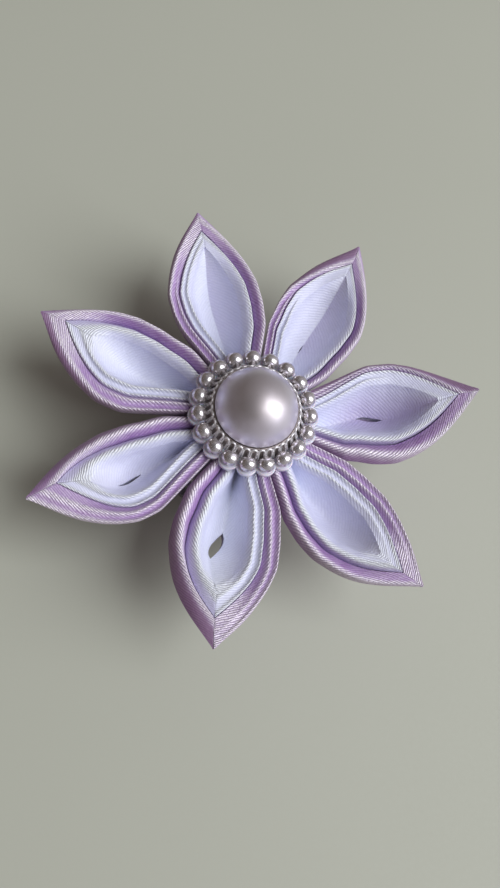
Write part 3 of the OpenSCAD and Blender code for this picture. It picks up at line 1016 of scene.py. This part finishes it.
class FLOWER_OT_petals(bpy.types.Operator):
    """Builds the seven petals, each an outer and an inner fold of satin ribbon"""

    bl_idname = "flower.petals"
    bl_label = "Petals"

    def execute(self, context):
        sizes = context.scene.flower_ribbon
        pitch = sizes.thread_pitch / MM
        lilac = satin("lilac_satin", (
            sizes.outer_colour, sizes.outer_groove_shade, sizes.outer_wall_shade, sizes.outer_shine),
            pitch, 0.10)
        white = satin("white_satin", (
            sizes.inner_colour, sizes.inner_groove_shade, sizes.inner_wall, sizes.inner_shine),
            pitch, 0.0)
        for number in range(len(PETALS)):
            for layer, (kind, material, side) in enumerate((
                    ("outer", lilac, sizes.outer_square), ("inner", white, sizes.inner_square))):
                node = f"{kind}_petal_{number + 1}"
                piece = fold_mesh(f"{kind}_fold_{number + 1}", Fold(number, layer, sizes))
                finish_piece(piece, material, f"{kind}_ribbon", node)
        return {"FINISHED"}


def bead_finish(colour):
    """Silvery plated plastic with small scuffs."""
    nodes = Nodes("plated_beads")
    place = nodes.place()
    cloud = nodes.noise(place, 900.0, 3.0)
    scuff = nodes.noise(place, 5200.0, 2.0)
    base = nodes.mix(nodes.span(cloud, 0.35, 0.7), paint(colour, 0.8), paint(colour))
    return nodes.shader(
        Base_Color=base, Metallic=0.85, Roughness=nodes.span(scuff, 0.3, 0.8, 0.2, 0.3),
        Normal=nodes.bump(cloud, 0.02, 0.5))


def milky_finish():
    """Milky moulded plastic of the flange."""
    nodes = Nodes("milky_plastic")
    place = nodes.place()
    cloud = nodes.noise(place, 700.0, 2.0)
    return nodes.shader(
        Base_Color=nodes.mix(cloud, *map(paint, MILKY)),
        Roughness=nodes.span(cloud, 0.2, 0.8, 0.18, 0.3),
        Subsurface_Weight=0.25, Subsurface_Scale=0.6 * MM, Coat_Weight=0.6,
        Normal=nodes.bump(nodes.noise(place, 2600.0), 0.02, 0.4))


def rib_finish():
    """Bright plated plastic of the ribs."""
    nodes = Nodes("plated_ribs")
    scuff = nodes.noise(nodes.place(), 2600.0, 2.0)
    return nodes.shader(
        Base_Color=nodes.mix(nodes.span(scuff, 0.3, 0.7), *map(paint, RIBS)), Metallic=0.5,
        Roughness=nodes.span(scuff, 0.3, 0.8, 0.25, 0.35), Normal=nodes.bump(scuff, 0.006, 0.5))


def collar_dark_reflection_finish():
    """Dull plated plastic of the collar, painted dark as the dark reflection seen between the ribs.
    """
    nodes = Nodes("dull_plating_painted_dark")
    cloud = nodes.noise(nodes.place(), 1800.0, 2.0)
    return nodes.shader(Base_Color=nodes.mix(cloud, *map(paint, COLLAR_DARK_REFLECTION)), Metallic=0.8,
                        Roughness=nodes.span(cloud, 0.3, 0.8, 0.3, 0.45))


class FLOWER_OT_bead_ring(bpy.types.Operator):
    """Models the moulded ring: a scalloped flange, nineteen beads and a ribbed collar"""

    bl_idname = "flower.bead_ring"
    bl_label = "Bead ring"

    def execute(self, context):
        sizes = context.scene.flower_cabochon
        low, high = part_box("bead_ring")
        circle = sizes.bead_circle
        count = sizes.bead_count
        top = low.z + sizes.flange_thickness

        # Flange: a disc whose rim is drawn out round each bead
        scallop = high.x - circle
        bpy.ops.mesh.primitive_cylinder_add(
            vertices=count * FLANGE_STEPS, radius=circle, depth=sizes.flange_thickness,
            location=(0, 0, low.z + sizes.flange_thickness / 2))
        flange = added()
        valley = math.pi / count
        for vert in flange.data.vertices:
            off = (math.atan2(vert.co.y, vert.co.x) + valley) % (2 * valley) - valley
            reach = circle * math.cos(off) + math.sqrt(
                max(0.0, scallop**2 - (circle * math.sin(off)) ** 2))
            radius = from_axis(vert.co)
            if radius > 0:
                vert.co.x *= reach / radius
                vert.co.y *= reach / radius
        switch("EDIT")
        pick(flange, lambda middle, normal: abs(normal.z) > 0.9)
        bpy.ops.mesh.inset(thickness=0.22 * MM, depth=0)
        switch("OBJECT")
        round_edges(flange, 0.14, 3, 60)
        apply_modifiers(flange)

        # Collar: a cone with a rolled lip round the pearl's seat
        rise = sizes.seat_height - sizes.flange_thickness
        bpy.ops.mesh.primitive_cone_add(
            vertices=8 * count, radius1=sizes.collar_radius, radius2=sizes.seat_radius, depth=rise,
            location=(0, 0, top + rise / 2))
        collar = added()
        switch("EDIT")
        pick(collar, lambda middle, normal: normal.z > 0.9)
        bpy.ops.mesh.inset(thickness=0.22 * MM, depth=0)
        bpy.ops.mesh.inset(thickness=0.10 * MM, depth=-0.10 * MM)
        pick(collar, lambda middle, normal: normal.z < -0.9)
        bpy.ops.mesh.extrude_region_move(
            TRANSFORM_OT_translate={"value": (0, 0, -0.5 * sizes.flange_thickness)})
        switch("OBJECT")
        round_edges(collar, 0.06, 2, 30)
        apply_modifiers(collar)

        # One bead, cut flat under the flange, and its copies
        bead_r = sizes.bead_diameter / 2
        bpy.ops.mesh.primitive_uv_sphere_add(
            segments=36, ring_count=20, radius=bead_r,
            location=(circle, 0, low.z + bead_r + sizes.bead_skin))
        bead = only(bpy.context.object)
        bead.scale = BEAD_STRETCH
        settle(bead)
        switch("EDIT")
        cut((0, 0, low.z + 0.4 * sizes.flange_thickness), (0, 0, -1), use_fill=True,
            clear_outer=True)
        switch("OBJECT")
        beads = repeat(bead, count, 0.0)

        # One rib: a slim loop laid up the collar's slope, and its copies
        run = sizes.collar_radius - sizes.seat_radius
        slope = math.hypot(run, rise)
        bpy.ops.mesh.primitive_torus_add(
            major_radius=sizes.rib_width, minor_radius=RIB_SHARE * sizes.rib_width,
            major_segments=20, minor_segments=8, rotation=(0, math.pi / 2, 0))
        rib = added()
        switch("EDIT")
        for way in (1, -1):
            pick(rib, lambda place, normal: way * place.z > 0.2 * sizes.rib_width, "VERT")
            bpy.ops.transform.translate(value=(0, 0, way * (slope / 2 - sizes.rib_width)))
        switch("OBJECT")
        rib.rotation_euler = (0, -math.atan2(run, rise), 0)
        rib.location = ((sizes.collar_radius + sizes.seat_radius) / 2 + 0.12 * MM, 0,
                        top + rise / 2)
        settle(rib)
        ribs = repeat(rib, 2 * count, 0.5)

        for parts, finish in (([flange], milky_finish()), (beads, bead_finish(sizes.metal_colour)),
                              ([collar], collar_dark_reflection_finish()), (ribs, rib_finish())):
            for part in parts:
                part.data.materials.append(finish)
        ring = join([flange, collar, *beads, *ribs], "bead_ring_moulding")
        smooth(ring, 45)
        finish_piece(ring, None, "moulded_ring", "bead_ring")
        return {"FINISHED"}


class FLOWER_OT_pearl(bpy.types.Operator):
    """Models the half pearl as a domed cap with a rounded foot"""

    bl_idname = "flower.pearl"
    bl_label = "Pearl"

    def execute(self, context):
        sizes = context.scene.flower_cabochon
        low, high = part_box("pearl")
        radius = sizes.pearl_diameter / 2
        ball = (radius**2 + sizes.pearl_height**2) / (2 * sizes.pearl_height)
        bpy.ops.mesh.primitive_uv_sphere_add(
            segments=96, ring_count=64, radius=ball, location=(0, 0, high.z - ball))
        pearl = added()
        switch("EDIT")
        cut((0, 0, low.z + 0.02 * MM), (0, 0, -1), use_fill=True, clear_outer=True)
        switch("OBJECT")
        round_edges(pearl, 0.12, 3, 40)
        apply_modifiers(pearl)
        smooth(named(pearl, "half_pearl"), 60)

        nodes = Nodes("pearl_lustre_painted_reflection")
        place = nodes.place()
        cloud = nodes.noise(place, 160.0, 3.0)
        speck = nodes.noise(place, 4200.0, 2.0)
        # Painted reflection: darker in the middle, lighter towards the rim and lighter still at the
        # grazing edge; the noise makes the lustre uneven
        edge = nodes.add("LayerWeight", {"Blend": 0.35}).outputs["Facing"]
        flat = nodes.vector("MULTIPLY", place, (1, 1, 0))
        away = nodes.add("VectorMath", {0: flat}, operation="LENGTH").outputs["Value"]
        rim = nodes.span(away, 0.45 * radius, 0.95 * radius)
        rim = nodes.math("ADD", rim, nodes.span(cloud, 0.35, 0.7, -0.2, 0.25), clamp=True)
        base = nodes.mix(rim, paint(sizes.pearl_colour_and_dark_reflection), paint(PEARL_RIM_REFLECTION))
        base = nodes.mix(nodes.times(edge, 0.55), base, paint(PEARL_EDGE_REFLECTION))
        base = nodes.mix(nodes.span(speck, 0.70, 0.76, 0.0, 0.35), base, paint(PEARL_SPECKS))
        material = nodes.shader(
            Base_Color=base, Metallic=0.75, Roughness=nodes.span(cloud, 0.2, 0.8, 0.40, 0.46),
            Normal=nodes.bump(speck, 0.002, 0.5), Coat_Weight=0.5, Coat_Roughness=0.12)
        finish_piece(pearl, material, "pearl", "pearl")
        return {"FINISHED"}


class FLOWER_OT_felt(bpy.types.Operator):
    """Models the felt disc with a soft, slightly uneven edge"""

    bl_idname = "flower.felt"
    bl_label = "Felt disc"

    def execute(self, context):
        sizes = context.scene.flower_backing
        radius = sizes.felt_diameter / 2
        bpy.ops.mesh.primitive_cylinder_add(
            vertices=96, radius=radius, depth=sizes.felt_thickness,
            location=(0, 0, sizes.felt_height + sizes.felt_thickness / 2))
        felt = added()
        switch("EDIT")
        for ring in FELT_RINGS:
            pick(felt, lambda middle, normal: abs(normal.z) > 0.9 and from_axis(middle) < 0.1 * MM)
            bpy.ops.mesh.inset(thickness=ring * radius, depth=0)
        switch("OBJECT")
        round_edges(felt, 0.32, 4, 60)
        divide = felt.modifiers.new("divide", "SUBSURF")
        divide.levels = 1
        divide.render_levels = 1
        apply_modifiers(felt)
        for vert in felt.data.vertices:
            away = from_axis(vert.co)
            if away > 0.9 * radius:
                angle = math.atan2(vert.co.y, vert.co.x)
                wave = sum(size * math.sin(count * angle + phase)
                           for size, count, phase in FELT_WAVES)
                vert.co.x *= 1 + wave * MM / away
                vert.co.y *= 1 + wave * MM / away
        smooth(named(felt, "felt_pad"), 60)

        nodes = Nodes("wool_felt")
        place = nodes.place()
        fibre = nodes.noise(place, 2400.0, 4.0, 0.7)
        cloud = nodes.noise(place, 240.0, 3.0)
        base = nodes.mix(nodes.span(fibre, 0.3, 0.7), paint(sizes.felt_colour, 0.75),
                         paint(sizes.felt_colour))
        height = nodes.math("ADD", fibre, nodes.times(cloud, 0.6))
        material = nodes.shader(
            Base_Color=base, Roughness=nodes.span(fibre, 0.2, 0.8, 0.98, 0.85),
            Sheen_Weight=0.5, Sheen_Roughness=0.6, Normal=nodes.bump(height, 0.25, 0.9))
        finish_piece(felt, material, "felt", "felt_disc")
        return {"FINISHED"}


class FLOWER_OT_clip(bpy.types.Operator):
    """Models the closed steel clip: two pressed arms that meet at the nose, and a coiled spring"""

    bl_idname = "flower.clip"
    bl_label = "Hair clip"

    def execute(self, context):
        sizes = context.scene.flower_backing
        steel = sizes.clip_steel
        inside = sizes.clip_height - 2 * steel
        bend = sizes.clip_nose - sizes.nose_length
        cuts = [bend + n * sizes.nose_length / NOSE_CUTS for n in range(NOSE_CUTS)]
        cuts += [-sizes.clip_tail * part for part in TAIL_CUTS]
        arms = []
        for top in (False, True):
            bpy.ops.mesh.primitive_cube_add(
                size=1, location=((sizes.clip_nose - sizes.clip_tail) / 2, 0, steel / 2),
                scale=(sizes.clip_nose + sizes.clip_tail, sizes.clip_width, steel))
            arm = added()
            switch("EDIT")
            for x in cuts:
                cut((x, 0, 0), (1, 0, 0))
            switch("OBJECT")
            for vert in arm.data.vertices:
                away = max(0.0, (vert.co.x - bend) / sizes.nose_length)
                if top:
                    vert.co.z += sizes.clip_height - steel - inside * away
                tail = vert.co.x < -sizes.clip_tail * TAIL_FROM
                vert.co.y *= TAIL_SHARE if tail else 1 - NOSE_NARROWS * away**2
            round_edges(arm, 0.18, 3, 50)
            apply_modifiers(arm)
            arms.append(arm)
        wire = SPRING_WIRE * MM
        rings = []
        for n in range(SPRING_TURNS):
            y = (n - (SPRING_TURNS - 1) / 2) * SPRING_STEP * wire
            bpy.ops.mesh.primitive_torus_add(
                major_radius=inside / 2 - wire, minor_radius=wire, major_segments=40,
                minor_segments=10, location=(-sizes.spring_place, y, sizes.clip_height / 2),
                rotation=(math.pi / 2, 0, 0))
            rings.append(added())
        clip = join(arms + rings, "steel_clip")
        smooth(clip, 40)

        nodes = Nodes("clip_steel")
        place = nodes.place()
        stretched = nodes.add("Mapping", {"Vector": place, "Scale": (60.0, 2600.0, 2600.0)})
        grain = nodes.noise(stretched.outputs[0], 1.0, 3.0)
        cloud = nodes.noise(place, 300.0, 2.0)
        base = nodes.mix(nodes.span(cloud, 0.3, 0.7), paint(sizes.steel_colour, 0.7),
                         paint(sizes.steel_colour))
        material = nodes.shader(
            Base_Color=base, Metallic=1.0, Roughness=nodes.span(grain, 0.3, 0.7, 0.22, 0.40),
            Normal=nodes.bump(grain, 0.02, 0.4))
        finish_piece(clip, material, "clip_steel", "hair_clip")
        return {"FINISHED"}


def metres(place):
    """A place given in mm."""
    return [part * MM for part in place]


def aim(thing, place, target, up):
    """Puts a light or camera at a place and turns it to a target."""
    back = (Vector(place) - Vector(target)).normalized()
    right = Vector(up).cross(back).normalized()
    over = back.cross(right)
    turn = Matrix((right, over, back)).transposed().to_4x4()
    thing.matrix_world = Matrix.Translation(Vector(place)) @ turn


class FLOWER_OT_stage(bpy.types.Operator):
    """Sets the pale floor, the window light, the room's light and the camera"""

    bl_idname = "flower.stage"
    bl_label = "Stage"

    def execute(self, context):
        sizes = context.scene.flower_stage
        scene = context.scene
        bpy.ops.object.select_all(action="DESELECT")
        bpy.ops.mesh.primitive_plane_add(size=sizes.floor_size, location=(0, 0, 0))
        floor = bpy.context.object
        floor.name = "pale_floor"
        nodes = Nodes("pale_board")
        place = nodes.place()
        cloud = nodes.noise(place, 14.0, 3.0)
        grain = nodes.noise(place, 1500.0, 3.0)
        floor.data.materials.append(nodes.shader(
            Base_Color=nodes.mix(cloud, paint(sizes.floor_colour, 0.95), paint(sizes.floor_colour)),
            Roughness=nodes.span(grain, 0.2, 0.8, 0.55, 0.7), Normal=nodes.bump(grain, 0.02, 0.3)))

        lamp = bpy.data.lights.new("window", "AREA")
        lamp.shape = "RECTANGLE"
        lamp.size = sizes.window_width
        lamp.size_y = sizes.window_height
        lamp.energy = sizes.window_power
        lamp.color = WINDOW_COLOUR
        window = bpy.data.objects.new("window", lamp)
        context.collection.objects.link(window)
        towards = Vector(WINDOW_SIDE).normalized()
        aim(window, towards * sizes.window_distance, metres(WINDOW_TARGET), (0, 0, 1))

        room = Nodes("room", world=True)
        scene.world = room.material
        facing = room.place("Generated")
        bright = room.vector("DOT_PRODUCT", facing, ROOM_SIDE, 1)
        overhead = room.vector("DOT_PRODUCT", facing, OVERHEAD, 1)
        light = room.mix(room.span(bright, -0.5, 1.0), paint(ROOM_DARK), paint(ROOM_BRIGHT))
        light = room.mix(room.span(overhead, 0.70, 0.97, 0.0, 0.75), light, paint(OVERHEAD_DARK))
        shade = room.add("Background", {"Color": light, "Strength": sizes.room_light})
        room.tree.links.new(shade.outputs[0], room.output.inputs[0])

        lens = bpy.data.cameras.new("camera")
        lens.sensor_width = 36
        lens.lens = LENS
        lens.clip_start = 0.001
        lens.clip_end = 20
        camera = bpy.data.objects.new("camera", lens)
        context.collection.objects.link(camera)
        aim(camera, metres(CAMERA_PLACE), metres(CAMERA_TARGET), CAMERA_UP)
        scene.camera = camera
        scene.view_settings.view_transform = "Standard"
        return {"FINISHED"}


PIECES = (FLOWER_OT_clip, FLOWER_OT_felt, FLOWER_OT_petals, FLOWER_OT_bead_ring,
          FLOWER_OT_pearl, FLOWER_OT_stage)


class FLOWER_PT_sidebar(bpy.types.Panel):
    bl_idname = "FLOWER_PT_sidebar"
    bl_label = "Ribbon flower"
    bl_space_type = "VIEW_3D"
    bl_region_type = "UI"
    bl_category = "Ribbon flower"

    def draw(self, context):
        for piece in PIECES:
            self.layout.operator(piece.bl_idname)
        for name in GROUPS:
            box = self.layout.box()
            group = getattr(context.scene, name)
            for key in group.__annotations__:
                box.prop(group, key)


GROUPS = {
    "flower_ribbon": RibbonSettings,
    "flower_cabochon": CabochonSettings,
    "flower_backing": BackingSettings,
    "flower_stage": StageSettings,
}


def register():
    for group in GROUPS.values():
        bpy.utils.register_class(group)
    for name, group in GROUPS.items():
        setattr(bpy.types.Scene, name, PointerProperty(type=group))
    for piece in PIECES:
        bpy.utils.register_class(piece)
    bpy.utils.register_class(FLOWER_PT_sidebar)


def unregister():
    bpy.utils.unregister_class(FLOWER_PT_sidebar)
    for piece in reversed(PIECES):
        bpy.utils.unregister_class(piece)
    for name, group in GROUPS.items():
        delattr(bpy.types.Scene, name)
        bpy.utils.unregister_class(group)


def main():
    """Builds every piece."""
    register()
    for piece in PIECES:
        group, name = piece.bl_idname.split(".")
        getattr(getattr(bpy.ops, group), name)()
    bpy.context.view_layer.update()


if __name__ == "__main__":
    main()
